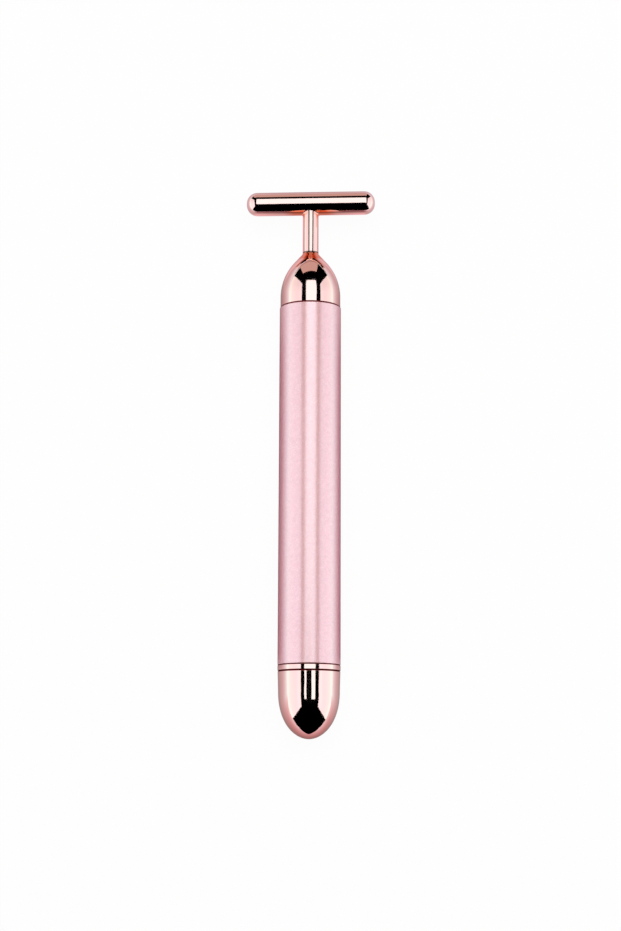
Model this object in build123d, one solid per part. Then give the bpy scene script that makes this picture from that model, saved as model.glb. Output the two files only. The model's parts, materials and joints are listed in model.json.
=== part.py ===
from build123d import *
import math
import os

os.makedirs("parts", exist_ok=True)

# A battery-powered vibrating massager bar that lies along Y on its round grip.
# The tail cap points to -Y and the crossbar head to +Y. All sizes are in millimetres.
# Distances along the bar are counted from the tip of the tail cap.

# Power cell, a standard AA size
cell_radius = 7.25
cell_length = 50.5
cell_stub_radius = 2.75
cell_stub_height = 1.2
cell_jacket = 0.1
cell_can_wall = 0.25
cell_base_radius = 4.8
cell_base_step = 0.3

# Grip tube and the plastic liner that centres the cell in it
cell_clearance = 0.15
liner_wall = 0.5
liner_fit = 0.1
grip_wall = 0.7
grip_edge_round = 0.35

# Tail collar: the visible ring, the spigot glued into the grip and the nose that takes the cap
glue_gap = 0.05
collar_clearance = 0.1
collar_ring_width = 1.55
collar_spigot_length = 10.0
nose_wall = 0.45
nose_length = 5.65
nose_chamfer = 0.2
seam_chamfer = 0.15

# Sealing rings
tail_seal_width = 0.8
tail_seal_setback = 0.25
seal_fit = 0.05
head_seal_width = 1.0
head_seal_depth = 0.5
head_seal_setback = 0.8

# Screwed tail cap
cap_gap = 0.15
cap_inset = 0.05
cap_draft = 0.15
cap_dome_length = 13.05
dome_tip_pull = 0.424
dome_side_pull = 0.7
cap_skirt_length = 5.4
cap_wall = 1.05
thread_depth = 0.25
cap_edge_round = 0.15
insert_tip_gap = 3.0
plate_thickness = 0.5
plate_cup_depth = 2.7
screw_radius = 1.0
screw_head_radius = 1.9
screw_head_height = 1.2
screw_length = 5.0
screw_slot_width = 0.5
screw_slot_depth = 0.5

# Conical tail spring, compressed as it sits under the closed cap
spring_wire = 0.7
spring_base_radius = 4.4
spring_tip_radius = 2.4
spring_height = 5.1
spring_turns = 3.5
spring_flat_turns = 0.25
spring_side_gap = 0.35
spring_seat_gap = 0.1

# Contacts and wiring
carrier_lip = 0.7
carrier_body = 4.0
carrier_pocket_gap = 0.6
contact_thickness = 0.5
contact_radius = 2.5
contact_shank_radius = 0.9
contact_tail_length = 1.8
strip_width = 3.0
strip_thickness = 0.25
strip_inset = 0.2
strip_slot_gap = 0.2
strip_tab_setback = 8.0
strip_tab_height = 3.8
lead_radius = 0.5
lead_lead_in = 3.4
wire_bay_length = 13.4

# Motor
motor_radius = 6.0
motor_height = 10.0
can_length = 12.0
can_wall = 0.6
bell_length = 3.0
bell_pocket_radius = 3.6
bell_pocket_depth = 1.8
terminal_offset = 4.0
terminal_length = 1.8
terminal_width = 1.6
terminal_thickness = 0.3
terminal_root = 0.8
magnet_thickness = 1.1
magnet_length = 9.0
magnet_half_angle = 40
magnet_fit = 0.05
bush_radius = 1.5
bush_length = 2.0
bush_stand_out = 0.8
running_fit = 0.03

# Rotor
shaft_radius = 0.5
armature_gap = 0.45
armature_length = 7.0
armature_hub_radius = 1.3
pole_count = 3
pole_neck_width = 1.0
pole_shoe_thickness = 0.8
pole_shoe_half_angle = 50
coil_overhang = 0.7
coil_width = 2.3
commutator_radius = 1.5
commutator_core_radius = 1.0
commutator_length = 2.0
commutator_slit = 0.2
brush_width = 1.0
brush_gap = 0.05
weight_clearance = 1.7
weight_length = 6.0
weight_start_gap = 1.0
weight_hub_radius = 1.5
shaft_stand_out = 0.3

# Motor cradle, two moulded halves
cradle_fit = 0.1
cradle_wall = 1.5
terminal_room = 4.7
cradle_window_radius = 5.5
pin_radius = 0.6
pin_length = 1.2
pin_fit = 0.05
pin_inset = 1.4

# Massage head, one casting with the stem and the crossbar
head_inset = 0.2
head_spigot_length = 15.0
head_spigot_wall = 1.25
head_straight = 3.1
ogive_radius = 15.0
ogive_angle = 42
cavity_angle = 30
stem_radius = 2.27
stem_length = 15.12
neck_round = 1.0
crossbar_radius = 3.36
crossbar_length = 36.8
crossbar_end_flat = 0.3
crossbar_root_round = 0.55

# Radii that follow from the cell outwards
liner_bore = cell_radius + cell_clearance
liner_radius = liner_bore + liner_wall
grip_bore = liner_radius + liner_fit
grip_radius = grip_bore + grip_wall
spigot_radius = grip_bore - glue_gap
collar_bore = cell_radius + collar_clearance
nose_radius = collar_bore + nose_wall
cap_bore = nose_radius + thread_depth
cap_rim_radius = grip_radius - cap_inset
cap_dome_radius = cap_rim_radius - cap_draft
head_radius = grip_radius - head_inset
head_bore = spigot_radius - head_spigot_wall
weight_radius = head_bore - weight_clearance

# Stations along the bar, counted from the tail tip
cap_rim = cap_dome_length + cap_skirt_length
ring_start = cap_rim + cap_gap
grip_start = ring_start + collar_ring_width
collar_end = grip_start + collar_spigot_length
nose_end = ring_start - nose_length
plate_back = nose_end - plate_thickness
cup_floor = nose_end - plate_cup_depth
cell_start = cup_floor + spring_height
cell_end = cell_start + cell_length
cell_shoulder = cell_end - cell_stub_height
pocket_floor = cell_end + contact_thickness
carrier_end = pocket_floor + carrier_body
cradle_start = carrier_end + wire_bay_length
strip_end = cradle_start - strip_tab_setback
motor_start = cradle_start + cradle_wall + terminal_room
can_start = motor_start + bell_length
can_end = can_start + can_length
cradle_end = can_end + cradle_wall
grip_end = cradle_end + head_spigot_length
ogive_start = grip_end + head_straight
ogive_end = ogive_start + ogive_radius * math.sin(math.radians(ogive_angle))
ogive_end_radius = head_radius - ogive_radius * (1 - math.cos(math.radians(ogive_angle)))
cone_end = ogive_end + (ogive_end_radius - stem_radius) / math.tan(math.radians(ogive_angle))
crossbar_axis = cone_end + stem_length
overall_length = crossbar_axis + crossbar_radius
weight_start = cradle_end + weight_start_gap
weight_end = weight_start + weight_length


def section(start):
    """The plane across the bar at this station: its x is the bar's X, and its y points down."""
    return Plane((0, start, 0), x_dir=(1, 0, 0), z_dir=(0, 1, 0))


def rod(radius, start, end):
    return extrude(section(start) * Circle(radius), end - start)


def tube(radius, bore, start, end):
    return extrude(section(start) * (Circle(radius) - Circle(bore)), end - start)


def turned(*outline):
    """A solid turned about the bar's axis from corners given as (radius, station)."""
    return revolve(make_face(Polyline(*outline, close=True)), Axis.Y)


def polar_copies(shape, count):
    """Copies of a solid, evenly spaced around the bar's axis."""
    return [Rot(0, 360 * index / count, 0) * shape for index in range(count)]


def dome_curve(radius, tip, base):
    """A blunt dome's outline, from the axis at the tip out to the full radius at the base."""
    side_start = base - dome_side_pull * (base - tip)
    return Bezier((0, tip), (dome_tip_pull * radius, tip), (radius, side_start), (radius, base))


def cap_hollow_curve(gap):
    """The inside of the cap's dome, or with a gap the outline of what fits in it."""
    return dome_curve(cap_dome_radius - cap_wall - gap, cap_wall + gap, plate_back)


def cap_shell():
    """Domed shell with a slightly tapered skirt, bored for the nose down to the plate's seat."""
    outside = dome_curve(cap_dome_radius, 0, cap_dome_length)
    inside = cap_hollow_curve(0)
    skirt = Polyline(
        outside @ 1, (cap_rim_radius, cap_rim), (cap_bore, cap_rim), (cap_bore, plate_back), inside @ 1
    )
    tip = Line(inside @ 0, outside @ 0)
    shell = revolve(make_face(outside.edges() + skirt.edges() + inside.edges() + tip.edges()), Axis.Y)
    rim = shell.faces().sort_by(Axis.Y)[-1]
    return fillet(rim.edges().sort_by(SortBy.RADIUS)[-1], cap_edge_round)


def plate_cup_radius():
    """Inside radius of the cup that holds the wide end of the spring."""
    return spring_base_radius + spring_wire / 2 + spring_side_gap


def spring_plate():
    cup = plate_cup_radius()
    plate = turned(
        (screw_radius + glue_gap, cup_floor - plate_thickness),
        (cup + plate_thickness, cup_floor - plate_thickness),
        (cup + plate_thickness, plate_back),
        (cap_bore - glue_gap, plate_back),
        (cap_bore - glue_gap, nose_end),
        (cup, nose_end),
        (cup, cup_floor),
        (screw_radius + glue_gap, cup_floor),
    )
    mouth = plate.edges().filter_by(GeomType.CIRCLE).filter_by_position(Axis.Y, nose_end, nose_end)
    return fillet(mouth.sort_by(SortBy.RADIUS)[0], plate_thickness / 2)


def cap_insert():
    outside = cap_hollow_curve(glue_gap)
    sides = Polyline(outside @ 1, (0, plate_back), outside @ 0)
    core = revolve(make_face(outside.edges() + sides.edges()), Axis.Y)
    core &= rod(cap_bore, cap_wall + insert_tip_gap, plate_back)
    core -= rod(plate_cup_radius() + plate_thickness + glue_gap, cup_floor - plate_thickness, cap_rim)
    screw_hole = rod(screw_radius + glue_gap, cup_floor - screw_length, cap_rim)
    return core - screw_hole


def plate_screw():
    screw = rod(screw_radius, cup_floor - screw_length, cup_floor)
    head = rod(screw_head_radius, cup_floor, cup_floor + screw_head_height)
    head = fillet(head.faces().sort_by(Axis.Y)[-1].edges(), screw_head_height / 3)
    slot_middle = cup_floor + screw_head_height - screw_slot_depth / 2
    slot = Pos(0, slot_middle, 0) * Box(2 * screw_head_radius, screw_slot_depth, screw_slot_width)
    cross_slot = Pos(0, slot_middle, 0) * Box(screw_slot_width, screw_slot_depth, 2 * screw_head_radius)
    return screw + head - slot - cross_slot


def spring_point(turn):
    """Centre of the spring wire after so many turns: flat at both ends, a cone between."""
    free_turns = spring_turns - 2 * spring_flat_turns
    share = min(max((turn - spring_flat_turns) / free_turns, 0), 1)
    radius = spring_base_radius + share * (spring_tip_radius - spring_base_radius)
    seat = spring_seat_gap + spring_wire / 2
    station = cup_floor + seat + share * (spring_height - 2 * seat)
    angle = math.radians(360 * turn)
    return Vector(radius * math.cos(angle), station, radius * math.sin(angle))


def spring_direction(turn):
    step = 0.01
    return (spring_point(turn + step) - spring_point(turn - step)).normalized()


def tangent_arc_pair(start, start_way, end, end_way):
    """Two arcs that leave start along start_way, meet smoothly and reach end along end_way."""
    chord = end - start
    both = start_way + end_way
    bend = 2 * (1 - start_way.dot(end_way))
    reach = (math.sqrt(chord.dot(both) ** 2 + bend * chord.dot(chord)) - chord.dot(both)) / bend
    middle = (start + start_way * reach + end - end_way * reach) / 2
    return [TangentArc(start, middle, tangent=start_way), TangentArc(end, middle, tangent=end_way * -1)]


def tail_spring():
    """One unbroken wire, laid as pairs of arcs over each quarter turn."""
    arcs = []
    quarters = round(4 * spring_turns)
    for quarter in range(quarters):
        turn, following = quarter / 4, (quarter + 1) / 4
        arcs += tangent_arc_pair(
            spring_point(turn),
            spring_direction(turn),
            spring_point(following),
            spring_direction(following),
        )
    path = Wire([arc.edge() for arc in arcs])
    mouth = Plane(path @ 0, z_dir=path % 0) * Circle(spring_wire / 2)
    steps = 24 * quarters
    turns = [spring_turns * step / steps for step in range(steps + 1)]
    least = min(
        (spring_point(a) - spring_point(b)).length for a in turns for b in turns if b - a > 0.6
    )
    print("least gap between spring coils", round(least - spring_wire, 2))
    return sweep(mouth, path)


def cell_can():
    """Steel can with its stub at the head end and its edge rolled in at the tail end."""
    edge = cell_start + cell_base_step
    can_radius = cell_radius - cell_jacket
    inside = can_radius - cell_can_wall
    can = turned(
        (inside - cell_can_wall, edge),
        (can_radius, edge),
        (can_radius, cell_shoulder),
        (cell_stub_radius, cell_shoulder),
        (cell_stub_radius, cell_end),
        (0, cell_end),
        (0, cell_end - cell_can_wall),
        (cell_stub_radius - cell_can_wall, cell_end - cell_can_wall),
        (cell_stub_radius - cell_can_wall, cell_shoulder - cell_can_wall),
        (inside, cell_shoulder - cell_can_wall),
        (inside, edge + cell_can_wall),
        (inside - cell_can_wall, edge + cell_can_wall),
    )
    outside = can.edges().filter_by(GeomType.CIRCLE).group_by(SortBy.RADIUS)[-1]
    return fillet(outside, cell_can_wall)


def cell_jacket_sleeve():
    """The shrunk film around the can, turned in over its shoulder."""
    can_radius = cell_radius - cell_jacket
    start = cell_start + cell_base_step + cell_can_wall
    return turned(
        (can_radius, start),
        (cell_radius, start),
        (cell_radius, cell_shoulder + cell_jacket),
        (can_radius - 2 * cell_can_wall, cell_shoulder + cell_jacket),
        (can_radius - 2 * cell_can_wall, cell_shoulder),
        (can_radius, cell_shoulder),
    )


def cell_core():
    inside = cell_radius - cell_jacket - cell_can_wall
    start = cell_start + cell_base_step + 2 * cell_can_wall
    return rod(inside, start, cell_shoulder - cell_can_wall)


def cell_seal():
    """Insulating ring between the rolled edge of the can and the base disc."""
    edge = cell_start + cell_base_step
    rolled = cell_radius - cell_jacket - 2 * cell_can_wall
    return tube(rolled, cell_base_radius, edge, edge + 2 * cell_can_wall)


def cell_base():
    disc = rod(cell_base_radius, cell_start, cell_start + cell_base_step + 2 * cell_can_wall)
    return fillet(disc.faces().sort_by(Axis.Y)[0].edges(), cell_base_step / 2)


def grip_sleeve():
    sleeve = tube(grip_radius, grip_bore, grip_start, grip_end)
    outside = sleeve.edges().filter_by(GeomType.CIRCLE).group_by(SortBy.RADIUS)[-1]
    return fillet(outside, grip_edge_round)


def tail_seal_span():
    end = ring_start - tail_seal_setback
    return end - tail_seal_width, end


def tail_seal_floor():
    """Radius at the bottom of the sealing ring's groove in the nose."""
    return nose_radius - nose_wall / 2


def tail_collar():
    seal_start, seal_end = tail_seal_span()
    collar = turned(
        (collar_bore, nose_end),
        (nose_radius - nose_chamfer, nose_end),
        (nose_radius, nose_end + nose_chamfer),
        (nose_radius, ring_start),
        (grip_radius - seam_chamfer, ring_start),
        (grip_radius, ring_start + seam_chamfer),
        (grip_radius, grip_start - seam_chamfer),
        (grip_radius - seam_chamfer, grip_start),
        (spigot_radius, grip_start),
        (spigot_radius, collar_end),
        (collar_bore, collar_end),
    )
    groove = tube(
        nose_radius + thread_depth, tail_seal_floor(), seal_start - seal_fit / 2, seal_end + seal_fit / 2
    )
    return collar - groove


def rounded_ring(radius, bore, start, end):
    """A sealing ring squeezed flat by its groove, with rounded corners."""
    ring = tube(radius, bore, start, end)
    return fillet(ring.edges().filter_by(GeomType.CIRCLE), (radius - bore) / 4)


def tail_seal():
    return rounded_ring(cap_bore - seal_fit, tail_seal_floor(), *tail_seal_span())


def strip_depth():
    """How far below the axis the underside of the ground strip lies."""
    return grip_bore - strip_inset


def battery_liner():
    """Plastic tube, open along its underside where the ground strip runs."""
    liner = tube(liner_radius, liner_bore, collar_end, cradle_start)
    length = cradle_start - collar_end
    slot = Box(strip_width + 2 * strip_slot_gap, length, liner_radius)
    return liner - Pos(0, collar_end + length / 2, -liner_radius) * slot


def ground_strip():
    """Bent strip from the collar's end face to the solder tab in the wire bay."""
    bottom = -strip_depth()
    top = bottom + strip_thickness
    tab_top = top + strip_tab_height
    outline = Polyline(
        (0, collar_end, bottom),
        (0, strip_end, bottom),
        (0, strip_end, tab_top),
        (0, strip_end - strip_thickness, tab_top),
        (0, strip_end - strip_thickness, top),
        (0, collar_end, top),
        close=True,
    )
    strip = extrude(make_face(outline), strip_width / 2, both=True)
    bend = strip.edges().filter_by(Axis.X).filter_by_position(Axis.Y, strip_end, strip_end)
    return fillet(bend.sort_by(Axis.Z)[0], strip_thickness)


def contact_carrier():
    """Insulating disc behind the cell, with a lip that keeps a reversed cell off the contact."""
    carrier = rod(liner_bore - glue_gap, cell_end - carrier_lip, carrier_end)
    carrier -= rod(cell_stub_radius + carrier_pocket_gap, cell_end - carrier_lip, pocket_floor)
    return carrier - rod(contact_shank_radius + glue_gap, pocket_floor, carrier_end)


def contact_tail_end():
    return carrier_end + contact_tail_length


def positive_contact():
    """Riveted contact: its head meets the cell's stub, and its tail takes the lead."""
    contact = turned(
        (0, cell_end),
        (contact_radius, cell_end),
        (contact_radius, pocket_floor),
        (contact_shank_radius, pocket_floor),
        (contact_shank_radius, carrier_end + lead_radius),
        (lead_radius, carrier_end + lead_radius),
        (lead_radius, contact_tail_end()),
        (0, contact_tail_end()),
    )
    head_edge = contact.edges().filter_by(GeomType.CIRCLE).group_by(SortBy.RADIUS)[-1]
    return fillet(head_edge.sort_by(Axis.Y)[0], contact_thickness / 2)


def bend_radii(points):
    """For each inner point, the largest arc that uses 0.45 of its shorter run."""
    radii = []
    for before, corner, after in zip(points, points[1:], points[2:]):
        run_in = Vector(*corner) - Vector(*before)
        run_out = Vector(*after) - Vector(*corner)
        half_turn = math.radians(run_in.get_angle(run_out)) / 2
        radii.append(0.45 * min(run_in.length, run_out.length) / math.tan(half_turn))
    print("lead bend radii", [round(radius, 1) for radius in radii])
    return radii


def lead(points):
    """A round insulated wire along straight runs joined by tangent arcs."""
    path = FilletPolyline(*points, radius=bend_radii(points))
    mouth = Plane(path @ 0, z_dir=path % 0) * Circle(lead_radius)
    return sweep(mouth, path)


def terminal_end():
    return motor_start - terminal_length


def positive_lead():
    start, end = contact_tail_end(), terminal_end()
    return lead(
        [
            (0, start, 0),
            (0, start + lead_lead_in, 0),
            (terminal_offset, end - lead_lead_in, 0),
            (terminal_offset, end, 0),
        ]
    )


def negative_lead():
    end = terminal_end()
    height = strip_tab_height / 2 + lead_radius - strip_depth()
    return lead(
        [
            (0, strip_end, height),
            (0, strip_end + lead_lead_in, height),
            (-terminal_offset, end - lead_lead_in, 0),
            (-terminal_offset, end, 0),
        ]
    )


def motor_outline(gap):
    """Round motor section with flats above and below."""
    return Circle(motor_radius + gap) & Rectangle(3 * motor_radius, motor_height + 2 * gap)


def motor_can():
    can = extrude(section(can_start) * motor_outline(0), can_length)
    can -= extrude(section(can_start) * motor_outline(-can_wall), can_length - can_wall)
    can = fillet(can.faces().sort_by(Axis.Y)[-1].edges(), can_wall)
    return can - rod(bush_radius, can_start, can_end)


def motor_terminals():
    """Two solder tabs rooted in the end bell."""
    length = terminal_length + terminal_root
    tab = Box(terminal_thickness, length, terminal_width)
    middle = terminal_end() + length / 2
    return [Pos(side * terminal_offset, middle, 0) * tab for side in (-1, 1)]


def motor_end_bell():
    bell = extrude(section(motor_start) * motor_outline(0), bell_length)
    bell -= rod(bell_pocket_radius, can_start - bell_pocket_depth, can_start)
    bell -= rod(bush_radius, motor_start, can_start)
    for tab in motor_terminals():
        bell -= tab
    return bell


def motor_bush(start, length):
    return tube(bush_radius, shaft_radius + running_fit, start, start + length)


def motor_front_bush():
    return motor_bush(can_end + bush_stand_out - bush_length, bush_length)


def motor_rear_bush():
    return motor_bush(motor_start, bell_length - bell_pocket_depth)


def arc_segment(radius, bore, half_angle, start, length):
    """Part of a ring, centred on the bar's X."""
    reach = 2 * radius
    rise = reach * math.sin(math.radians(half_angle))
    run = reach * math.cos(math.radians(half_angle))
    wedge = make_face(Polyline((0, 0), (run, rise), (run, -rise), close=True))
    return extrude(section(start) * ((Circle(radius) - Circle(bore)) & wedge), length)


def motor_magnets():
    outside = motor_radius - can_wall - magnet_fit
    start = can_start + (can_length - can_wall - magnet_length) / 2
    magnet = arc_segment(outside, outside - magnet_thickness, magnet_half_angle, start, magnet_length)
    return polar_copies(magnet, 2)


def motor_brushes():
    """Two carbon blocks from the commutator out to the wall of the bell's pocket."""
    middle = can_start - bell_pocket_depth / 2
    pocket = tube(bell_pocket_radius, commutator_radius + brush_gap, middle - brush_width, can_start)
    bar = Pos(0, middle, 0) * Box(3 * bell_pocket_radius, brush_width, brush_width)
    return (bar & pocket).solids()


def armature_start():
    return can_start + (can_length - can_wall - armature_length) / 2


def armature_radius():
    return motor_radius - can_wall - magnet_fit - magnet_thickness - armature_gap


def armature_core():
    """Stack with three necks and curved pole shoes on a bored hub."""
    start, outside = armature_start(), armature_radius()
    core = rod(armature_hub_radius, start, start + armature_length)
    neck_middle = outside / 2
    neck = Pos(neck_middle, start + armature_length / 2, 0) * Box(
        outside - pole_shoe_thickness / 2, armature_length, pole_neck_width
    )
    shoe = arc_segment(
        outside, outside - pole_shoe_thickness, pole_shoe_half_angle, start, armature_length
    )
    for copy in polar_copies(neck & rod(outside, start, start + armature_length), pole_count):
        core += copy
    for copy in polar_copies(shoe, pole_count):
        core += copy
    return core - rod(shaft_radius, start, start + armature_length)


def armature_windings():
    """One coil around each pole neck, between the hub and the shoe."""
    start = armature_start() - coil_overhang
    length = armature_length + 2 * coil_overhang
    inner = armature_hub_radius + glue_gap
    outer = armature_radius() - pole_shoe_thickness - glue_gap
    middle = Pos((inner + outer) / 2, start + length / 2, 0)
    coil = middle * Box(outer - inner, length, coil_width)
    coil = fillet(coil.edges().filter_by(Axis.X), coil_overhang)
    coil -= middle * Box(outer - inner, armature_length, pole_neck_width)
    return polar_copies(coil & rod(outer, start, start + length), pole_count)


def commutator_start():
    return can_start - bell_pocket_depth / 2 - commutator_length / 2 + commutator_slit


def commutator_segments():
    start = commutator_start()
    ring = tube(commutator_radius, commutator_core_radius, start, start + commutator_length)
    slit = Pos(commutator_radius, start + commutator_length / 2, 0) * Box(
        2 * commutator_radius, commutator_length, commutator_slit
    )
    for copy in polar_copies(slit, pole_count):
        ring -= copy
    return ring.solids()


def commutator_core():
    start = commutator_start()
    return tube(commutator_core_radius, shaft_radius, start, start + commutator_length)


def motor_shaft():
    shaft = rod(shaft_radius, motor_start, weight_end + shaft_stand_out)
    return chamfer(shaft.edges().filter_by(GeomType.CIRCLE), shaft_radius / 4)


def eccentric_weight():
    """Half a disc that hangs below the shaft, on a full hub."""
    weight = rod(weight_radius, weight_start, weight_end)
    upper = Box(3 * weight_radius, 3 * weight_length, 2 * weight_radius)
    weight -= Pos(0, weight_start + weight_length / 2, weight_radius) * upper
    weight += rod(weight_hub_radius, weight_start, weight_end)
    return weight - rod(shaft_radius, weight_start, weight_end)


def cradle_pin_places():
    """Stations and heights of the pins that line up the two halves."""
    height = liner_radius - pin_inset
    rear = cradle_start + cradle_wall + pin_inset
    front = can_end - pin_inset
    return [(station, side * height) for station in (rear, front) for side in (-1, 1)]


def cradle_body():
    """The whole cradle before it is split along the bar's upright middle plane."""
    body = rod(liner_radius, cradle_start, cradle_end)
    pocket_start = cradle_start + cradle_wall
    body -= extrude(section(pocket_start) * motor_outline(cradle_fit), can_end - pocket_start)
    body -= rod(cradle_window_radius, cradle_start, pocket_start)
    return body - rod(bush_radius + cradle_fit, can_end, cradle_end)


def cradle_half(side):
    keep = Box(2 * liner_radius, 3 * (cradle_end - cradle_start), 3 * liner_radius)
    return cradle_body() & Pos(side * liner_radius, cradle_start, 0) * keep


def cradle_left():
    half = cradle_half(-1)
    for station, height in cradle_pin_places():
        pin = Pos(0, station, height) * Rot(0, 90, 0) * Cylinder(pin_radius, 2 * pin_length)
        half += pin
    return half


def cradle_right():
    half = cradle_half(1)
    for station, height in cradle_pin_places():
        depth = 2 * (pin_length + pin_fit)
        half -= Pos(0, station, height) * Rot(0, 90, 0) * Cylinder(pin_radius + pin_fit, depth)
    return half


def head_seal_span():
    end = grip_end - head_seal_setback
    return end - head_seal_width, end


def head_seal():
    return rounded_ring(grip_bore - glue_gap / 2, spigot_radius - head_seal_depth, *head_seal_span())


def head_turning():
    """Spigot, shoulder, ogive, cone and stem, turned in one piece."""
    middle = head_radius - ogive_radius
    ogive = CenterArc((middle, ogive_start), ogive_radius, 0, ogive_angle)
    tail_side = Polyline(
        (0, cradle_end),
        (spigot_radius, cradle_end),
        (spigot_radius, grip_end),
        (head_radius - seam_chamfer, grip_end),
        (head_radius, grip_end + seam_chamfer),
        (head_radius, ogive_start),
    )
    stem_side = Polyline(
        ogive @ 1,
        (stem_radius, cone_end),
        (stem_radius, crossbar_axis),
        (0, crossbar_axis),
        (0, cradle_end),
    )
    face = make_face(tail_side.edges() + ogive.edges() + stem_side.edges())
    neck = face.vertices().sort_by_distance((stem_radius, cone_end, 0))[0]
    return revolve(fillet(neck, neck_round), Axis.Y)


def head_cavity():
    """The casting's hollow: the spigot's bore, then a wall that keeps pace with the ogive."""
    middle = head_radius - ogive_radius
    inside = CenterArc((middle, ogive_start), head_bore - middle, 0, cavity_angle)
    outline = Polyline(
        inside @ 1,
        (0, (inside @ 1).Y),
        (0, cradle_end),
        (head_bore, cradle_end),
        inside @ 0,
    )
    return revolve(make_face(inside.edges() + outline.edges()), Axis.Y)


def massage_head():
    stem = head_turning()
    crossbar = Pos(0, crossbar_axis, 0) * Rot(0, 90, 0) * Cylinder(crossbar_radius, crossbar_length)
    end_round = crossbar_radius - crossbar_end_flat
    crossbar = fillet(crossbar.edges().filter_by(GeomType.CIRCLE), end_round)
    head = stem + crossbar
    root = new_edges(stem, crossbar, combined=head)
    head = fillet(root, crossbar_root_round)
    head -= head_cavity()
    seal_start, seal_end = head_seal_span()
    groove = tube(grip_bore, spigot_radius - head_seal_depth, seal_start - seal_fit, seal_end + seal_fit)
    return head - groove


# Each node's file name and its solid or solids
nodes = {
    "handle_sleeve": grip_sleeve(),
    "tail_collar": tail_collar(),
    "tail_seal": tail_seal(),
    "battery_liner": battery_liner(),
    "ground_strip": ground_strip(),
    "contact_carrier": contact_carrier(),
    "positive_contact": positive_contact(),
    "positive_lead": positive_lead(),
    "negative_lead": negative_lead(),
    "cradle_left": cradle_left(),
    "cradle_right": cradle_right(),
    "motor_can": motor_can(),
    "motor_end_bell": motor_end_bell(),
    "motor_front_bush": motor_front_bush(),
    "motor_rear_bush": motor_rear_bush(),
    "motor_magnets": motor_magnets(),
    "motor_brushes": motor_brushes(),
    "motor_terminals": motor_terminals(),
    "massage_head": massage_head(),
    "head_seal": head_seal(),
    "motor_shaft": motor_shaft(),
    "armature_core": armature_core(),
    "armature_windings": armature_windings(),
    "commutator_segments": commutator_segments(),
    "commutator_core": commutator_core(),
    "eccentric_weight": eccentric_weight(),
    "battery_can": cell_can(),
    "battery_core": cell_core(),
    "battery_jacket": cell_jacket_sleeve(),
    "battery_seal": cell_seal(),
    "battery_base": cell_base(),
    "tail_spring": tail_spring(),
    "cap_shell": cap_shell(),
    "cap_insert": cap_insert(),
    "spring_plate": spring_plate(),
    "plate_screw": plate_screw(),
}

# The bar's middle goes to Y = 0, and the grip rests on Z = 0
seat = Pos(0, -overall_length / 2, grip_radius)
for name, shape in nodes.items():
    pieces = shape if isinstance(shape, (list, tuple)) else [shape]
    solids = [seat * solid for piece in pieces for solid in piece.solids()]
    export_step(Compound(children=solids), f"parts/{name}.step")
print("overall length", round(overall_length, 2), "grip radius", round(grip_radius, 2))
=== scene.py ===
import json
import math

import bmesh
import bpy
from mathutils import Matrix, Vector


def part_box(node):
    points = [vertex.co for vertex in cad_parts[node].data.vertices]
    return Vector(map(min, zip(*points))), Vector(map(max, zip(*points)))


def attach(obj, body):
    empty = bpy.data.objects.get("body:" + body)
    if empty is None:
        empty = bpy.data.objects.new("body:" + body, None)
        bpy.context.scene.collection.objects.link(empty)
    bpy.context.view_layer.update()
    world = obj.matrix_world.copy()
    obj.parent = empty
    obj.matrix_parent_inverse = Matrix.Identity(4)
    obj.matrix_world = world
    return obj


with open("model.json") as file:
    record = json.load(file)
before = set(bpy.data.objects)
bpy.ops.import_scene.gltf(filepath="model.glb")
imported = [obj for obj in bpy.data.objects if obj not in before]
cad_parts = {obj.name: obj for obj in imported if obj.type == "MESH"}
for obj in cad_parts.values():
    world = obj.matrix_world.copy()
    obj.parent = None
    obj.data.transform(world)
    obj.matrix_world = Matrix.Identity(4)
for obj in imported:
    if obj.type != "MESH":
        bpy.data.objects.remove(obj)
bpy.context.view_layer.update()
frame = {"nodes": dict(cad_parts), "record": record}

MM = 0.001
grip_low, grip_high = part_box("handle_sleeve")
AXIS_HEIGHT = (grip_low.z + grip_high.z) / 2

# Stations along the bar, in metres along Y
CAP_GAP = 0.15 * MM
CAP_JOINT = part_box("cap_shell")[1].y + CAP_GAP / 2
TAIL_JOINT = grip_low.y
HEAD_JOINT = grip_high.y
HEAD_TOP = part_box("massage_head")[1].y
CROSSBAR_RADIUS = 3.36 * MM
STEM_ROOT = HEAD_TOP - 2 * CROSSBAR_RADIUS
NECK = HEAD_TOP - 19.3 * MM


# Node helpers


def feed(tree, socket, value):
    """Links the value into the socket, or sets it there when it is a constant."""
    if isinstance(value, bpy.types.NodeSocket):
        tree.links.new(value, socket)
    else:
        socket.default_value = value


def set_inputs(tree, node, **values):
    """Feeds the node's inputs by name; an underscore stands for a space."""
    for name, value in values.items():
        feed(tree, node.inputs[name.replace("_", " ")], value)
    return node


def add(tree, kind, **values):
    """A node of this kind, with the named inputs set or linked."""
    return set_inputs(tree, tree.nodes.new(kind), **values)


def use_group(tree, group, **values):
    """This group as a node, with the named inputs set or linked."""
    node = tree.nodes.new("ShaderNodeGroup")
    node.node_tree = group
    return set_inputs(tree, node, **values)


def math_node(tree, operation, first, second=0.0):
    node = tree.nodes.new("ShaderNodeMath")
    node.operation = operation
    feed(tree, node.inputs[0], first)
    feed(tree, node.inputs[1], second)
    return node.outputs[0]


def multiply(tree, first, second):
    return math_node(tree, "MULTIPLY", first, second)


def colour_mix(tree, factor, first, second, blend="MIX"):
    node = tree.nodes.new("ShaderNodeMix")
    node.data_type = "RGBA"
    node.blend_type = blend
    for index, value in ((0, factor), (6, first), (7, second)):
        feed(tree, node.inputs[index], value)
    return node.outputs[2]


def tinted(tree, mask, shade, tint):
    """The shade, multiplied by this tint as far as the mask says."""
    return colour_mix(tree, mask, shade, tint, "MULTIPLY")


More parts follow.
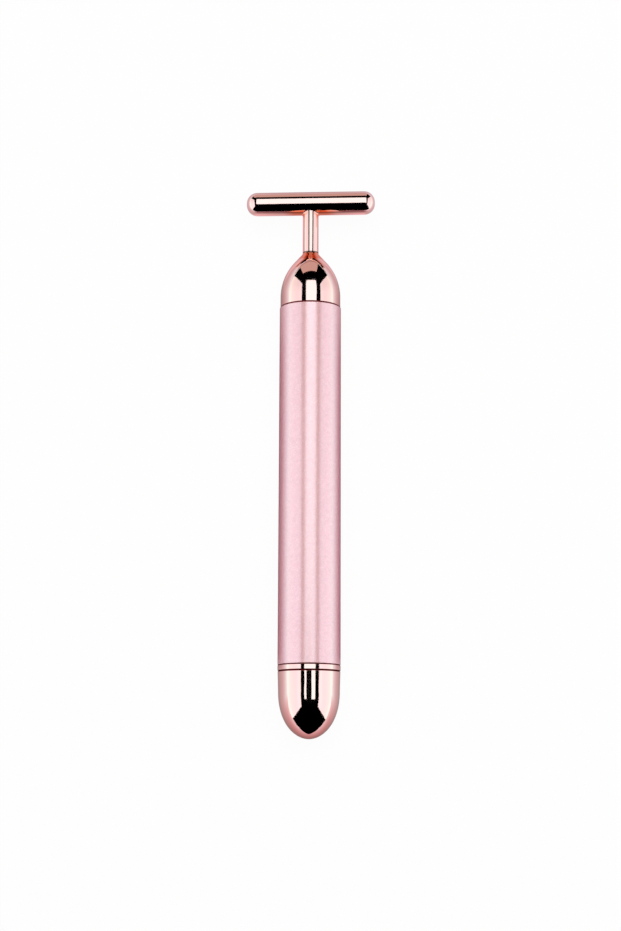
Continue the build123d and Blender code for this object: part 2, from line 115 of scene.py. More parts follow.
def scaled(tree, colour, factor):
    """The colour, brighter or darker by this factor."""
    node = tree.nodes.new("ShaderNodeVectorMath")
    node.operation = "SCALE"
    feed(tree, node.inputs[0], colour)
    feed(tree, node.inputs["Scale"], factor)
    return node.outputs[0]


def remap(tree, value, low, high, new_low=0.0, new_high=1.0):
    """The value from low to high, clamped, on a scale from new_low to new_high."""
    ends = {"From_Min": low, "From_Max": high, "To_Min": new_low, "To_Max": new_high}
    node = add(tree, "ShaderNodeMapRange", Value=value, **ends)
    node.clamp = True
    return node.outputs["Result"]


def fade_out(tree, value, low, high):
    """1 up to low, 0 from high on, and in between a fade."""
    return remap(tree, value, low, high, 1.0, 0.0)


def band(tree, value, low, high, fade):
    """1 where the value is between low and high, and 0 outside, with a fade at each side."""
    return multiply(tree, remap(tree, value, low - fade, low), fade_out(tree, value, high, high + fade))


def diagonal(tree, first, second):
    """The length of the diagonal over two sides at a right angle."""
    squares = [math_node(tree, "POWER", math_node(tree, "ABSOLUTE", side), 2.0) for side in (first, second)]
    return math_node(tree, "POWER", math_node(tree, "ADD", *squares), 0.5)


def object_place(tree, stretch=None):
    """Object coordinates, multiplied by these factors if there are any."""
    place = tree.nodes.new("ShaderNodeTexCoord").outputs["Object"]
    if stretch is None:
        return place
    return add(tree, "ShaderNodeMapping", Vector=place, Scale=stretch).outputs["Vector"]


def object_axes(tree):
    """The object coordinates as outputs named X, Y and Z."""
    return add(tree, "ShaderNodeSeparateXYZ", Vector=object_place(tree)).outputs


def noise(tree, stretch=None, **values):
    return add(tree, "ShaderNodeTexNoise", Vector=object_place(tree, stretch), **values).outputs["Fac"]


def bump(tree, **values):
    return add(tree, "ShaderNodeBump", **values).outputs["Normal"]


def colour_steps(tree, value, steps):
    """A colour ramp through these (place, colour) steps."""
    ramp = tree.nodes.new("ShaderNodeValToRGB")
    tree.links.new(value, ramp.inputs[0])
    points = ramp.color_ramp.elements
    while len(points) < len(steps):
        points.new(0.5)
    for point, (place, colour) in zip(points, steps):
        point.position = place
        point.color = (*colour, 1)
    return ramp.outputs["Color"]


def mix_shaders(tree, share, first, second):
    mix = tree.nodes.new("ShaderNodeMixShader")
    for socket, value in zip(mix.inputs, (share, first, second)):
        tree.links.new(value, socket)
    return mix.outputs[0]


# Shared effects, each a node group

FLOAT = "NodeSocketFloat"
COLOUR = "NodeSocketColor"
VECTOR = "NodeSocketVector"


def new_group(name, inputs, outputs):
    """An empty node group with these named inputs and outputs."""
    group = bpy.data.node_groups.new(name, "ShaderNodeTree")
    for label, kind, value in inputs:
        socket = group.interface.new_socket(label, in_out="INPUT", socket_type=kind)
        socket.default_value = value
    for label, kind in outputs:
        group.interface.new_socket(label, in_out="OUTPUT", socket_type=kind)
    start = group.nodes.new("NodeGroupInput")
    end = group.nodes.new("NodeGroupOutput")
    return group, start.outputs, end.inputs


def grain_group():
    """Fine random grain: a colour that wavers, a roughness that varies and a pitted surface."""
    group, given, out = new_group(
        "fine_grain",
        [
            ("Colour", COLOUR, (0.5, 0.5, 0.5, 1)),
            ("Darker", FLOAT, 0.1),
            ("Grains per metre", FLOAT, 3000.0),
            ("Roughness", FLOAT, 0.4),
            ("Spread", FLOAT, 0.1),
            ("Depth", FLOAT, 0.1),
        ],
        [("Colour", COLOUR), ("Roughness", FLOAT), ("Normal", VECTOR)],
    )
    fine = noise(group, Scale=given["Grains per metre"], Detail=3.0)
    cloud = noise(group, Scale=multiply(group, given["Grains per metre"], 0.05), Detail=4.0)
    blotch = math_node(group, "ADD", fine, cloud)
    shade = remap(group, blotch, 0.7, 1.3)
    dark = colour_mix(group, given["Darker"], given["Colour"], (0.0, 0.0, 0.0, 1))
    feed(group, out["Colour"], colour_mix(group, shade, dark, given["Colour"]))
    swing = multiply(group, math_node(group, "SUBTRACT", blotch, 1.0), given["Spread"])
    feed(group, out["Roughness"], math_node(group, "ADD", given["Roughness"], swing))
    feed(group, out["Normal"], bump(group, Strength=given["Depth"], Distance=0.1 * MM, Height=fine))
    return group


def polish_group():
    """Polished plating: faint smears in the shine, ripples from the wheel, and hairline scratches."""
    group, given, out = new_group(
        "polished_plating",
        [
            ("Colour", COLOUR, (0.9, 0.6, 0.5, 1)),
            ("Deeper colour", COLOUR, (0.85, 0.5, 0.4, 1)),
            ("Roughness", FLOAT, 0.05),
            ("Smears", FLOAT, 0.05),
            ("Scratches", FLOAT, 0.02),
            ("Ripples", FLOAT, 0.2),
        ],
        [("Colour", COLOUR), ("Roughness", FLOAT), ("Normal", VECTOR)],
    )
    tone = remap(group, noise(group, Scale=45.0, Detail=2.0), 0.35, 0.65)
    feed(group, out["Colour"], colour_mix(group, tone, given["Deeper colour"], given["Colour"]))
    smear = remap(group, noise(group, Scale=160.0, Detail=5.0), 0.45, 0.75, 0.0, given["Smears"])
    feed(group, out["Roughness"], math_node(group, "ADD", given["Roughness"], smear))
    along = noise(group, (1.0, 0.04, 1.0), Scale=9000.0, Detail=2.0)
    around = noise(group, (0.05, 1.0, 0.05), Scale=7000.0, Detail=2.0)
    wave = noise(group, (1.0, 0.7, 1.0), Scale=420.0, Detail=1.0)
    ripple = bump(group, Strength=given["Ripples"], Distance=0.1 * MM, Height=wave)
    hairlines = math_node(group, "ADD", along, around)
    surface = bump(group, Strength=given["Scratches"], Distance=0.02 * MM, Height=hairlines, Normal=ripple)
    feed(group, out["Normal"], surface)
    return group


def flake_group():
    """Metallic lacquer: tiny flakes that tilt and glitter, over a satin base."""
    group, given, out = new_group(
        "metal_flakes",
        [
            ("Colour", COLOUR, (0.85, 0.5, 0.55, 1)),
            ("Flake colour", COLOUR, (1.0, 0.7, 0.7, 1)),
            ("Flakes per metre", FLOAT, 5000.0),
            ("Sparkle", FLOAT, 0.3),
            ("Roughness", FLOAT, 0.3),
            ("Depth", FLOAT, 0.2),
        ],
        [("Colour", COLOUR), ("Roughness", FLOAT), ("Height", FLOAT)],
    )
    cells = add(group, "ShaderNodeTexVoronoi", Vector=object_place(group), Scale=given["Flakes per metre"])
    flake, tilt, lift = add(group, "ShaderNodeSeparateColor", Color=cells.outputs["Color"]).outputs
    amount = multiply(group, remap(group, flake, 0.72, 0.95), given["Sparkle"])
    cloud = noise(group, Scale=900.0, Detail=6.0, Roughness=0.7)
    mottled = scaled(group, given["Colour"], remap(group, cloud, 0.3, 0.7, 0.94, 1.04))
    feed(group, out["Colour"], colour_mix(group, amount, mottled, given["Flake colour"]))
    swing = multiply(group, math_node(group, "SUBTRACT", tilt, 0.5), 0.12)
    feed(group, out["Roughness"], math_node(group, "ADD", given["Roughness"], swing))
    feed(group, out["Height"], math_node(group, "ADD", multiply(group, lift, given["Depth"]), cloud))
    return group


def joint_group():
    """A line round the bar, as a mask for painted shade where two shells meet: 1 in the line, and 0 away from
    it.
    """
    group, given, out = new_group(
        "joint_line",
        [("Place", FLOAT, 0.0), ("Half width", FLOAT, 0.2 * MM), ("Fade", FLOAT, 0.1 * MM)],
        [("Line", FLOAT)],
    )
    away = math_node(group, "ABSOLUTE", math_node(group, "SUBTRACT", object_axes(group)["Y"], given["Place"]))
    edge = math_node(group, "ADD", given["Half width"], given["Fade"])
    feed(group, out["Line"], fade_out(group, away, given["Half width"], edge))
    return group


GRAIN = grain_group()
POLISH = polish_group()
FLAKES = flake_group()
JOINT = joint_group()


# Materials

ROSE_GOLD = (0.95, 0.56, 0.46, 1)
ROSE_GOLD_DEEP = (0.94, 0.54, 0.44, 1)
PINK = (0.93, 0.45, 0.42, 1)
PINK_FLAKE = (1.0, 0.62, 0.58, 1)
# Painted reflection: the deeper copper of light mirrored back and forth in the head's inside corners
CORNER_REFLECTION_PAINT = (0.88, 0.27, 0.14, 1)
# Painted shade: the dark colour put into the seams between shells
SEAM_SHADE_PAINT = (0.22, 0.008, 0.008, 1)
# Painted reflection: the colour of a dark reflected band round the neck
NECK_REFLECTION_BROWN = (0.05, 0.012, 0.006, 1)
WIRE_COPPER = (0.72, 0.29, 0.14, 1)
# Painted shade: the dark colour in the grooves between the wire's turns
WIRE_GAP_SHADE = (0.25, 0.07, 0.03, 1)
FILM_GREY = (0.5, 0.52, 0.55, 1)
FILM_DARK = (0.07, 0.07, 0.08, 1)
FILM_LINE = (0.8, 0.8, 0.8, 1)


def new_material(name, metallic=0.0, coat=0.0, coat_roughness=0.1):
    material = bpy.data.materials.new(name)
    material.use_nodes = True
    tree = material.node_tree
    shader = tree.nodes["Principled BSDF"]
    set_inputs(tree, shader, Metallic=metallic, Coat_Weight=coat, Coat_Roughness=coat_roughness)
    return material, tree, shader


def feed_shader(tree, shader, colour, roughness, normal):
    set_inputs(tree, shader, Base_Color=colour, Roughness=roughness, Normal=normal)


def grained(name, colour, roughness, metallic=0.0, depth=0.1):
    """A material with the fine grain and nothing else."""
    material, tree, shader = new_material(name, metallic)
    colour = (*colour, 1)
    grain = use_group(tree, GRAIN, Colour=colour, Darker=0.15, Roughness=roughness, Depth=depth).outputs
    feed_shader(tree, shader, grain["Colour"], grain["Roughness"], grain["Normal"])
    return material


def line_across(tree, place, half_width, fade=0.06 * MM):
    """A line round the bar at this station, as a mask."""
    return use_group(tree, JOINT, Place=place, Half_width=half_width, Fade=fade).outputs["Line"]


def joint_lines(tree, *lines):
    """The painted shade lines at these (place, half width) stations, as one mask."""
    mask = 0.0
    for place, half_width in lines:
        mask = math_node(tree, "MAXIMUM", line_across(tree, place, half_width), mask)
    return mask


def painted_corner_reflection(tree):
    """The head's inside corners, where a deeper copper is painted in for light mirrored back and forth there:
    the neck and the stem's root.
    """
    place = object_axes(tree)
    neck = band(tree, place["Y"], NECK - 1.1 * MM, NECK + 0.9 * MM, 0.3 * MM)
    below_bar = band(tree, place["Y"], STEM_ROOT - 0.3 * MM, STEM_ROOT + 1.0 * MM, 0.2 * MM)
    beside_stem = band(tree, math_node(tree, "ABSOLUTE", place["X"]), 3.0 * MM, 4.8 * MM, 3.0 * MM)
    return math_node(tree, "MAXIMUM", neck, multiply(tree, below_bar, beside_stem))


def rose_gold_plating():
    material, tree, shader = new_material("polished_rose_gold", metallic=1.0)
    plating = use_group(
        tree,
        POLISH,
        Colour=ROSE_GOLD,
        Deeper_colour=ROSE_GOLD_DEEP,
        Roughness=0.045,
        Smears=0.05,
        Scratches=0.014,
        Ripples=0.2,
    ).outputs
    joints = ((CAP_JOINT - 0.04 * MM, 0.22 * MM), (TAIL_JOINT, 0.15 * MM), (HEAD_JOINT, 0.08 * MM))
    # Painted shade: a dark line in each seam between shells, where the gap's shadow falls
    seam_shade = joint_lines(tree, *joints)
    # Painted reflection: a dark brown line round the neck, standing in for a dark reflected band
    neck_reflection_line = line_across(tree, NECK + 1.2 * MM, 0.13 * MM, fade=0.1 * MM)
    # Painted reflection: deeper copper in the inside corners at the neck and the stem's root
    shade = colour_mix(tree, painted_corner_reflection(tree), plating["Colour"], CORNER_REFLECTION_PAINT)
    shade = colour_mix(tree, seam_shade, shade, SEAM_SHADE_PAINT)
    shade = colour_mix(tree, multiply(tree, neck_reflection_line, 0.85), shade, NECK_REFLECTION_BROWN)
    dull = math_node(tree, "MAXIMUM", plating["Roughness"], multiply(tree, seam_shade, 0.5))
    feed_shader(tree, shader, shade, dull, plating["Normal"])
    return material


def satin_sleeve():
    material, tree, shader = new_material("satin_pink_metal", metallic=0.6, coat=1.0, coat_roughness=0.22)
    flakes = use_group(
        tree,
        FLAKES,
        Colour=PINK,
        Flake_colour=PINK_FLAKE,
        Flakes_per_metre=5200.0,
        Sparkle=0.5,
        Roughness=0.4,
        Depth=0.5,
    ).outputs
    # Painted shade in the seams at the tail and at the head, without coat there
    seam_shade = joint_lines(tree, (TAIL_JOINT, 0.12 * MM), (HEAD_JOINT - 0.14 * MM, 0.18 * MM))
    shade = colour_mix(tree, seam_shade, flakes["Colour"], SEAM_SHADE_PAINT)
    surface = bump(tree, Strength=0.09, Distance=0.04 * MM, Height=flakes["Height"])
    feed_shader(tree, shader, shade, flakes["Roughness"], surface)
    set_inputs(tree, shader, Coat_Weight=math_node(tree, "SUBTRACT", 1.0, seam_shade), Coat_IOR=2.35)
    return material


def enamelled_wire():
    """Copper with ridges at even distances from the rotor's axis: wound wire, and turning marks, with painted
    shade in the grooves between the ridges.
    """
    ridge_pitch = 0.24 * MM
    material, tree, shader = new_material("enamelled_copper", metallic=1.0, coat=0.4)
    grain = use_group(tree, GRAIN, Colour=WIRE_COPPER, Darker=0.2, Roughness=0.3, Spread=0.1).outputs
    place = object_axes(tree)
    up = math_node(tree, "SUBTRACT", place["Z"], AXIS_HEIGHT)
    turns = multiply(tree, diagonal(tree, place["X"], up), 2 * math.pi / ridge_pitch)
    wave = remap(tree, math_node(tree, "SINE", turns), -1.0, 1.0)
    ridge = math_node(tree, "POWER", wave, 0.6)
    # Painted shade in the grooves between the ridges
    shade = colour_mix(tree, remap(tree, ridge, 0.0, 0.7), WIRE_GAP_SHADE, grain["Colour"])
    surface = bump(tree, Strength=0.6, Distance=0.06 * MM, Height=ridge, Normal=grain["Normal"])
    feed_shader(tree, shader, shade, grain["Roughness"], surface)
    return material


def cell_film():
    """Plain shrunk film, with a darker band and a fine bright line at the cell's plus end."""
    material, tree, shader = new_material("cell_film", metallic=0.3, coat=0.5)
    plus_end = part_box("battery_jacket")[1].y
    film = {"Colour": FILM_GREY, "Darker": 0.1, "Roughness": 0.25, "Spread": 0.08, "Depth": 0.06}
    grain = use_group(tree, GRAIN, **film).outputs
    station = object_axes(tree)["Y"]
    dark = remap(tree, station, plus_end - 9.1 * MM, plus_end - 9.0 * MM)
    line = band(tree, station, plus_end - 10.2 * MM, plus_end - 9.7 * MM, 0.05 * MM)
    shade = colour_mix(tree, dark, grain["Colour"], FILM_DARK)
    shade = colour_mix(tree, line, shade, FILM_LINE)
    feed_shader(tree, shader, shade, grain["Roughness"], grain["Normal"])
    return material


def finishes():
    """The record's material slots and the material that each one gets."""
    return {
        "pink_metal": satin_sleeve(),
        "rose_gold": rose_gold_plating(),
        "seal_rubber": grained("seal_rubber_black", (0.03, 0.028, 0.028), 0.6, depth=0.2),
        "pale_plastic": grained("pale_moulded_plastic", (0.72, 0.71, 0.68), 0.45, depth=0.08),
        "dark_plastic": grained("dark_moulded_plastic", (0.05, 0.05, 0.055), 0.5, depth=0.12),
        "contact_brass": grained("contact_brass", (0.78, 0.58, 0.3), 0.28, 1.0),
        "red_insulation": grained("red_insulation", (0.55, 0.03, 0.03), 0.4),
        "black_insulation": grained("black_insulation", (0.02, 0.02, 0.02), 0.4),
        "nickel_steel": grained("nickel_plated_steel", (0.66, 0.65, 0.62), 0.22, 1.0),
        "bronze": grained("sintered_bronze", (0.55, 0.36, 0.2), 0.45, 1.0, depth=0.3),
        "ferrite": grained("ferrite", (0.06, 0.06, 0.065), 0.6, depth=0.4),
        "spring_steel": grained("spring_steel", (0.6, 0.59, 0.57), 0.25, 1.0),
        "copper": enamelled_wire(),
        "weight_brass": grained("weight_brass", (0.74, 0.57, 0.3), 0.35, 1.0, depth=0.2),
        "cell_mix": grained("cell_mix", (0.04, 0.04, 0.04), 0.8, depth=0.4),
        "cell_film": cell_film(),
    }


MADE = finishes()


def dress_nodes():
    """Each CAD node gets the material of its slot."""
    for part in frame["record"]["subparts"]:
        node = frame["nodes"][part["node"]]
        if not node.material_slots:
            node.data.materials.append(None)
        for place in node.material_slots:
            place.material = MADE[part["material_slot"]]


dress_nodes()


# Pieces that the scene adds: the screw thread and the solder


def new_object(name, shape, material, smooth=False):
    """The shape as an object in the scene, which it uses up."""
    mesh = bpy.data.meshes.new(name)
    shape.to_mesh(mesh)
    shape.free()
    for face in mesh.polygons:
        face.use_smooth = smooth
    mesh.materials.append(material)
    piece = bpy.data.objects.new(name, mesh)
    bpy.context.scene.collection.objects.link(piece)
    return piece


THREAD_PITCH = 1.0 * MM
THREAD_STEPS = 60
NOSE_RADIUS = 7.8 * MM
NOSE_CREST = 8.0 * MM
NOSE_TURNS = 2.8
CAP_BORE = 8.05 * MM
CAP_CREST = 7.85 * MM
CAP_TURNS = 3.0
RIDGE_ROOT = 0.05 * MM
RIDGE_FOOT = 0.34 * MM
RIDGE_TOP = 0.1 * MM
CLEAR_OF_SEAL = 1.5 * MM


def thread_ridge(name, root, crest, start, turns, body, slot):
    """A right-handed ridge that winds from start towards the tail, closed at both ends."""
    shape = bmesh.new()
    profile = [(root, -RIDGE_FOOT), (crest, -RIDGE_TOP), (crest, RIDGE_TOP), (root, RIDGE_FOOT)]
    corners = [shape.verts.new((radius, start + along, AXIS_HEIGHT)) for radius, along in profile]
    edges = [shape.edges.new((corner, corners[(i + 1) % 4])) for i, corner in enumerate(corners)]
    bmesh.ops.spin(
        shape,
        geom=corners + edges,
        cent=(0, 0, AXIS_HEIGHT),
        axis=(0, -1, 0),
        dvec=(0, -THREAD_PITCH / THREAD_STEPS, 0),
        angle=2 * math.pi * turns,
        steps=round(THREAD_STEPS * turns),
    )
    ends = [edge for edge in shape.edges if edge.is_boundary]
    bmesh.ops.holes_fill(shape, edges=ends, sides=4)
    bmesh.ops.recalc_face_normals(shape, faces=shape.faces)
    piece = new_object(name, shape, MADE[slot])
    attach(piece, body)


def threads():
    """The ridges on the collar's nose and inside the cap, clear of the sealing ring, half a pitch apart."""
    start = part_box("cap_shell")[1].y - CLEAR_OF_SEAL
    nose_root, nose_start = NOSE_RADIUS - RIDGE_ROOT, start - THREAD_PITCH / 2
    thread_ridge("nose_thread", nose_root, NOSE_CREST, nose_start, NOSE_TURNS, "handle", "rose_gold")
    thread_ridge("cap_thread", CAP_BORE + RIDGE_ROOT, CAP_CREST, start, CAP_TURNS, "cap", "rose_gold")


threads()


# Half the section of a drop of solder: the radius in radii of the wire, and the height in mm
DROP_PROFILE = (
    (0.0, -0.55),
    (1.02, -0.5),
    (1.18, -0.3),
    (1.45, -0.05),
    (1.6, 0.2),
    (1.5, 0.45),
    (1.15, 0.65),
    (0.6, 0.78),
    (0.0, 0.82),
)
WIRE_RADIUS = 0.5 * MM
TERMINAL_HALF_TAB = 0.15 * MM


def solder_drop(name, place):
    """A drop of solder, drawn up round the wire and flowed out onto what the wire ends on."""
    shape = bmesh.new()
    corners = [shape.verts.new((radius * WIRE_RADIUS, along * MM, 0)) for radius, along in DROP_PROFILE]
    for first, second in zip(corners, corners[1:]):
        shape.edges.new((first, second))
    bmesh.ops.spin(
        shape,
        geom=shape.verts[:] + shape.edges[:],
        cent=(0, 0, 0),
        axis=(0, 1, 0),
        angle=2 * math.pi,
        steps=24,
        use_merge=True,
    )
    bmesh.ops.remove_doubles(shape, verts=shape.verts, dist=0.001 * MM)
    bmesh.ops.translate(shape, vec=place, verts=shape.verts)
    bmesh.ops.recalc_face_normals(shape, faces=shape.faces)
    piece = new_object(name, shape, MADE["nickel_steel"], smooth=True)
    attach(piece, "handle")


def solder():
    """A drop on each motor terminal, where its lead ends."""
    low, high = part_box("motor_terminals")
    for side, x in (("right", high.x - TERMINAL_HALF_TAB), ("left", low.x + TERMINAL_HALF_TAB)):
        solder_drop(f"{side}_terminal_solder", Vector((x, low.y, AXIS_HEIGHT)))


solder()


# Camera, which leans from straight above towards the tail and to the right. Angles are in degrees.

CAMERA_TILT = 9.87
CAMERA_ORBIT = 3.5
CAMERA_ROLL = 0.215
CAMERA_DISTANCE = 0.5329
CAMERA_AIM = Vector((0.0002, -0.001825, AXIS_HEIGHT))
FOCAL_PIXELS = 1900
PICTURE_HEIGHT = 931
SENSOR = 36.0


def camera_direction():
    tilt, orbit = math.radians(CAMERA_TILT), math.radians(CAMERA_ORBIT)
    return Vector((math.sin(orbit) * math.cos(tilt), -math.sin(tilt), math.cos(orbit) * math.cos(tilt)))


def make_camera():
    data = bpy.data.cameras.new("studio_camera")
    camera = bpy.data.objects.new("studio_camera", data)
    bpy.context.scene.collection.objects.link(camera)
    data.sensor_width = SENSOR
    data.lens = SENSOR * FOCAL_PIXELS / PICTURE_HEIGHT
    direction = camera_direction()
    right = Vector((0, 1, 0)).cross(direction).normalized()
    above = direction.cross(right)
    turn = Matrix((right, above, direction)).transposed()
    roll = Matrix.Rotation(math.radians(CAMERA_ROLL), 3, "Z")
    place = (turn @ roll).to_4x4()
    place.translation = CAMERA_AIM + direction * CAMERA_DISTANCE
    camera.matrix_world = place
    bpy.context.scene.camera = camera


# Light tent: cards that only mirrors see. Its angles are in degrees from straight up, as the bar
# sees them. It leans a little to the right, because the bar lies rolled on its round grip.

TENT_LEAN = 6.8
TENT_STRENGTH = 1.95

TOP_HEIGHT = 2.6
TOP_SIDE = 19.9
TOP_FRONT = 11.4
TOP_BACK = 39.3
TOP_WHITE = (0.64, 0.87, 1.0)

WALL_REACH = 0.5
WALL_TOP = 33.4
WALL_FRONT = -0.41
WALL_BACK = 0.50
# The walls' upper edge from the back forwards: (place along the bar, share of the full height)
WALL_EDGE = ((WALL_BACK, 0.88), (0.235, 0.92), (0.19, 1.0), (WALL_FRONT, 1.0))
WALL_STEPS = (
    (0.0, (0.66, 0.88, 0.98)),
    (0.06, (0.66, 0.87, 0.97)),
    (0.12, (0.62, 0.77, 0.89)),
    (0.30, (0.60, 0.71, 0.86)),
    (0.42, (0.60, 0.71, 0.86)),
    (0.56, (0.61, 0.77, 0.93)),
    (0.75, (0.61, 0.75, 0.87)),
)
WALL_BACK_FADE = (0.08, 0.34)
WALL_BACK_TINT = (0.84, 0.82, 0.80, 1)

BACK_BOARD_PLACE = 0.65
BACK_BOARD_SIDES = (-0.33, 0.22)
BACK_BOARD_TOP = 0.335
BACK_BOARD_COLOUR = (0.64, 0.54, 0.54)

CAMERA_CARD_SIDE = 0.088
CAMERA_CARD_NEAR = 0.057
CAMERA_CARD_FAR = -0.2

ROOM_REACH = 3.5
ROOM_FLOOR = -0.02
ROOM_CEILING = 3.2

# The table as the bar mirrors it, with the bar's shadow painted on. Its brightness follows the distance from
# the bar's middle line, as a share of the ramp's length, and a step behind the head counts less than one
# beside the bar.
# Each tint fades from the first to the second place in its pairs; the band's third figure is its fade.
TABLE_REACH = 3.4
TABLE_FRONT = -0.113
TABLE_CORNER = (0.12, -0.26, 0)
TABLE_STRENGTH = 1.75
TABLE_RAMP_LENGTH = 0.3
TABLE_STEPS = (
    (0.028, (0.20, 0.17, 0.18)),
    (0.048, (0.255, 0.226, 0.248)),
    (0.061, (0.31, 0.265, 0.305)),
    (0.073, (0.337, 0.307, 0.345)),
    (0.086, (0.354, 0.327, 0.382)),
    (0.109, (0.40, 0.379, 0.459)),
    (0.143, (0.434, 0.444, 0.535)),
    (0.203, (0.474, 0.542, 0.653)),
    (0.337, (0.526, 0.686, 0.813)),
    (0.96, (0.60, 0.862, 0.987)),
)
MIDDLE_LINE_TAIL = -0.074
MIDDLE_LINE_HEAD = 0.035
BEHIND_SHARE = 0.35
# Painted tints on the table: pink shade beside the sleeve, shade in front of the cap, darker red far behind
# the head, and a band of painted light under the crossbar
SLEEVE_TINT = (0.58, 0.30, 0.40, 1)
SLEEVE_TINT_TAIL = (-0.058, -0.054)
SLEEVE_TINT_HEAD = (0.030, 0.056)
SLEEVE_TINT_SIDE = (0.018, 0.048)
FRONT_TINT = (0.92, 0.66, 0.66, 1)
FRONT_TINT_END = (-0.088, -0.070)
FAR_TINT = (0.38, 0.14, 0.12, 1)
FAR_TINT_START = (0.14, 0.30)
FAR_TINT_SIDE = (0.24, 0.34)
BAR_TINT = (1.6, 1.4, 1.45, 1)
BAR_TINT_BAND = (0.061, 0.078, 0.007)
BAR_TINT_SIDE = (0.016, 0.020)


def tangent(angle):
    return math.tan(math.radians(angle))


def lean(card):
    """Leans a card with the tent, about the bar's axis."""
    pivot = Matrix.Translation((0, 0, AXIS_HEIGHT))
    card.matrix_world = pivot @ Matrix.Rotation(math.radians(TENT_LEAN), 4, "Y") @ pivot.inverted()


def only_reflected(card):
    card.visible_camera = False
    card.visible_diffuse = False
    card.visible_transmission = False
    card.visible_volume_scatter = False
    card.visible_shadow = False


def panel(name, corners, colour=(0, 0, 0), strength=0.0):
    """A flat card that only shows in reflections: lit with this colour or shading, or black."""
    material = bpy.data.materials.new(name)
    material.use_nodes = True
    tree = material.node_tree
    tree.nodes.clear()
    shade = colour(tree) if callable(colour) else (*colour, 1)
    light = add(tree, "ShaderNodeEmission", Color=shade, Strength=strength)
    add(tree, "ShaderNodeOutputMaterial", Surface=light.outputs[0])
    shape = bmesh.new()
    shape.faces.new([shape.verts.new(corner) for corner in corners])
    card = new_object(name, shape, material)
    only_reflected(card)
    lean(card)
    return card


def wall_light(tree):
    """Brightness up a side wall: a bright foot, a dimmer middle, a brighter top and a dimmer back."""
    place = object_axes(tree)
    shade = colour_steps(tree, place["Z"], WALL_STEPS)
    return tinted(tree, remap(tree, place["Y"], *WALL_BACK_FADE), shade, WALL_BACK_TINT)


def table_light(tree):
    """The table's brightness, with the bar's shadow painted in close to the bar and white further off, with
    its painted tints.
    """
    place = object_axes(tree)
    station, aside = place["Y"], math_node(tree, "ABSOLUTE", place["X"])
    behind = multiply(tree, math_node(tree, "SUBTRACT", station, MIDDLE_LINE_HEAD), BEHIND_SHARE)
    before = math_node(tree, "SUBTRACT", MIDDLE_LINE_TAIL, station)
    past = math_node(tree, "MAXIMUM", math_node(tree, "MAXIMUM", behind, before), 0.0)
    distance = diagonal(tree, place["X"], past)
    shade = colour_steps(tree, multiply(tree, distance, 1 / TABLE_RAMP_LENGTH), TABLE_STEPS)
    from_tail = remap(tree, station, *SLEEVE_TINT_TAIL)
    sleeve = multiply(tree, from_tail, fade_out(tree, station, *SLEEVE_TINT_HEAD))
    sleeve = multiply(tree, sleeve, fade_out(tree, distance, *SLEEVE_TINT_SIDE))
    front = fade_out(tree, station, *FRONT_TINT_END)
    far = multiply(tree, remap(tree, station, *FAR_TINT_START), fade_out(tree, aside, *FAR_TINT_SIDE))
    bar = multiply(tree, band(tree, station, *BAR_TINT_BAND), fade_out(tree, aside, *BAR_TINT_SIDE))
    # Painted shade and light on the table, as the tints above list
    for mask, tint in ((sleeve, SLEEVE_TINT), (front, FRONT_TINT), (far, FAR_TINT), (bar, BAR_TINT)):
        shade = tinted(tree, mask, shade, tint)
    return shade


def softbox_and_walls():
    x, front, back = (TOP_HEIGHT * tangent(angle) for angle in (TOP_SIDE, -TOP_FRONT, TOP_BACK))
    z = TOP_HEIGHT
    corners = [(-x, front, z), (x, front, z), (x, back, z), (-x, back, z)]
    panel("top_softbox", corners, TOP_WHITE, TENT_STRENGTH)
    full = WALL_REACH / tangent(WALL_TOP)
    edge = [(WALL_FRONT, 0), (WALL_BACK, 0)] + [(y, share * full) for y, share in WALL_EDGE]
    for name, x in (("left_wall", -WALL_REACH), ("right_wall", WALL_REACH)):
        panel(name, [(x, y, z) for y, z in edge], wall_light, TENT_STRENGTH)


def back_board():
    (left, right), y, top = BACK_BOARD_SIDES, BACK_BOARD_PLACE, BACK_BOARD_TOP
    corners = [(left, y, 0), (right, y, 0), (right, y, top), (left, y, top)]
    panel("back_board", corners, BACK_BOARD_COLOUR, 1.0)


def mirrored_table():
    reach, front = TABLE_REACH, WALL_FRONT
    right = [TABLE_CORNER, (WALL_REACH, front, 0), (reach, front, 0), (reach, reach, 0)]
    left = [(-x, y, z) for x, y, z in reversed(right)]
    panel("mirrored_table", left + [(0, TABLE_FRONT, 0)] + right, table_light, TABLE_STRENGTH)


def dark_room():
    """Black cards all round, so that nothing but the tent is bright."""
    far, low, high = ROOM_REACH, ROOM_FLOOR, ROOM_CEILING
    for name, corners in (
        ("dark_ground", [(-far, -far, low), (far, -far, low), (far, far, low), (-far, far, low)]),
        ("dark_front", [(-far, -far, low), (far, -far, low), (far, -far, high), (-far, -far, high)]),
        ("dark_back", [(-far, far, low), (far, far, low), (far, far, high), (-far, far, high)]),
        ("dark_left", [(-far, -far, low), (-far, far, low), (-far, far, high), (-far, -far, high)]),
        ("dark_right", [(far, -far, low), (far, far, low), (far, far, high), (far, -far, high)]),
        ("dark_ceiling", [(-far, -far, high), (far, -far, high), (far, far, high), (-far, far, high)]),
    ):
        panel(name, corners)


def camera_card():
    """The dark camera and what holds it, as the cap mirrors them. It doesn't lean with the tent."""
    x, y, z = CAMERA_AIM + camera_direction() * CAMERA_DISTANCE
    left, right = x - CAMERA_CARD_SIDE, x + CAMERA_CARD_SIDE
    near, far = y + CAMERA_CARD_NEAR, y + CAMERA_CARD_FAR
    card = panel("dark_camera", [(left, far, z), (right, far, z), (right, near, z), (left, near, z)])
    card.matrix_world = Matrix.Identity(4)


# Floor, sky and lamps, which light the picture itself

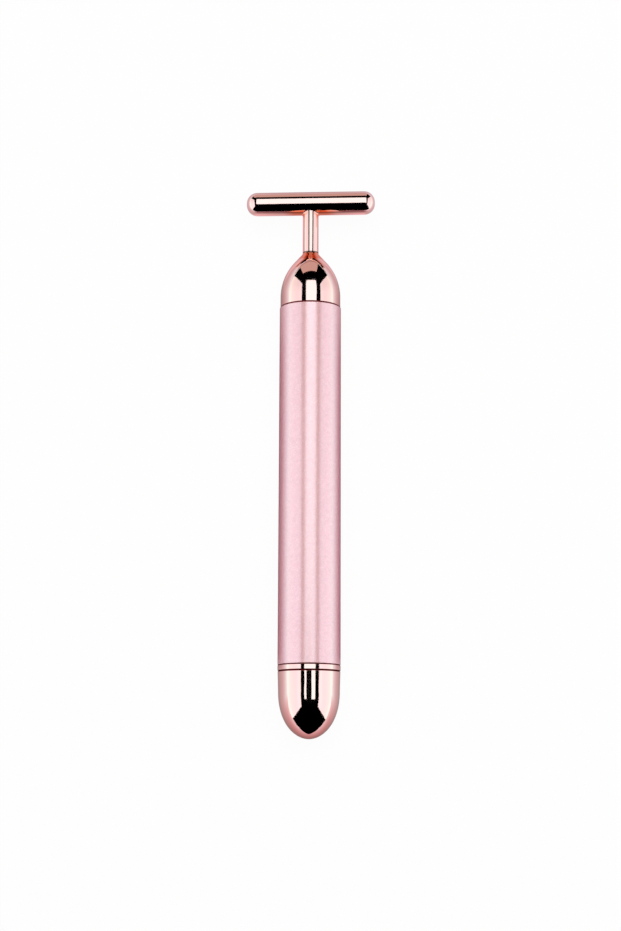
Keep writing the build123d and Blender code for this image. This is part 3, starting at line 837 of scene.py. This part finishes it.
FLOOR_SIZE = 2.5
FLOOR_GREY = (0.82, 0.82, 0.82, 1)
FLOOR_WHITE_SHARE = 0.96
SKY_STRENGTH = 0.15
LAMPS = (
    ("top_lamp", (0.1, 0.25, 1.2), 1.2, 15.0),
    ("left_lamp", (-0.9, 0.0, 0.8), 0.9, 0.8),
    ("right_lamp", (0.9, 0.0, 0.8), 0.9, 0.8),
)


def make_floor():
    """A floor that takes the bar's shadow and otherwise shows nearly white."""
    material = bpy.data.materials.new("pale_floor")
    material.use_nodes = True
    tree = material.node_tree
    shader = tree.nodes["Principled BSDF"]
    set_inputs(tree, shader, Base_Color=FLOOR_GREY, Roughness=0.9, Specular_IOR_Level=0.0)
    white = add(tree, "ShaderNodeEmission", Color=(1, 1, 1, 1), Strength=1.0)
    path = tree.nodes.new("ShaderNodeLightPath")
    share = multiply(tree, path.outputs["Is Camera Ray"], FLOOR_WHITE_SHARE)
    seen = mix_shaders(tree, share, shader.outputs[0], white.outputs[0])
    feed(tree, tree.nodes["Material Output"].inputs["Surface"], seen)
    shape = bmesh.new()
    bmesh.ops.create_grid(shape, x_segments=4, y_segments=4, size=FLOOR_SIZE)
    floor = new_object("floor", shape, material)
    floor.visible_glossy = False


def make_world():
    """White where a camera or a mirror looks, and faint as a light."""
    world = bpy.data.worlds.new("studio")
    bpy.context.scene.world = world
    world.use_nodes = True
    tree = world.node_tree
    tree.nodes.clear()
    path = tree.nodes.new("ShaderNodeLightPath")
    seen = math_node(tree, "MAXIMUM", path.outputs["Is Camera Ray"], path.outputs["Is Glossy Ray"])
    seen = math_node(tree, "MAXIMUM", seen, path.outputs["Is Transmission Ray"])
    strength = remap(tree, seen, 0.0, 1.0, SKY_STRENGTH, 1.0)
    sky = add(tree, "ShaderNodeBackground", Color=(1, 1, 1, 1), Strength=strength)
    add(tree, "ShaderNodeOutputWorld", Surface=sky.outputs[0])


def make_lamps():
    for name, place, size, power in LAMPS:
        data = bpy.data.lights.new(name, "AREA")
        data.shape = "SQUARE"
        data.size = size
        data.energy = power
        lamp = bpy.data.objects.new(name, data)
        bpy.context.scene.collection.objects.link(lamp)
        lamp.location = place
        lamp.rotation_mode = "QUATERNION"
        lamp.rotation_quaternion = Vector(place).to_track_quat("Z", "Y")
        lamp.visible_glossy = False
        lamp.visible_camera = False


make_camera()
softbox_and_walls()
back_board()
mirrored_table()
dark_room()
camera_card()
make_floor()
make_world()
make_lamps()
bpy.context.scene.view_settings.view_transform = "Standard"
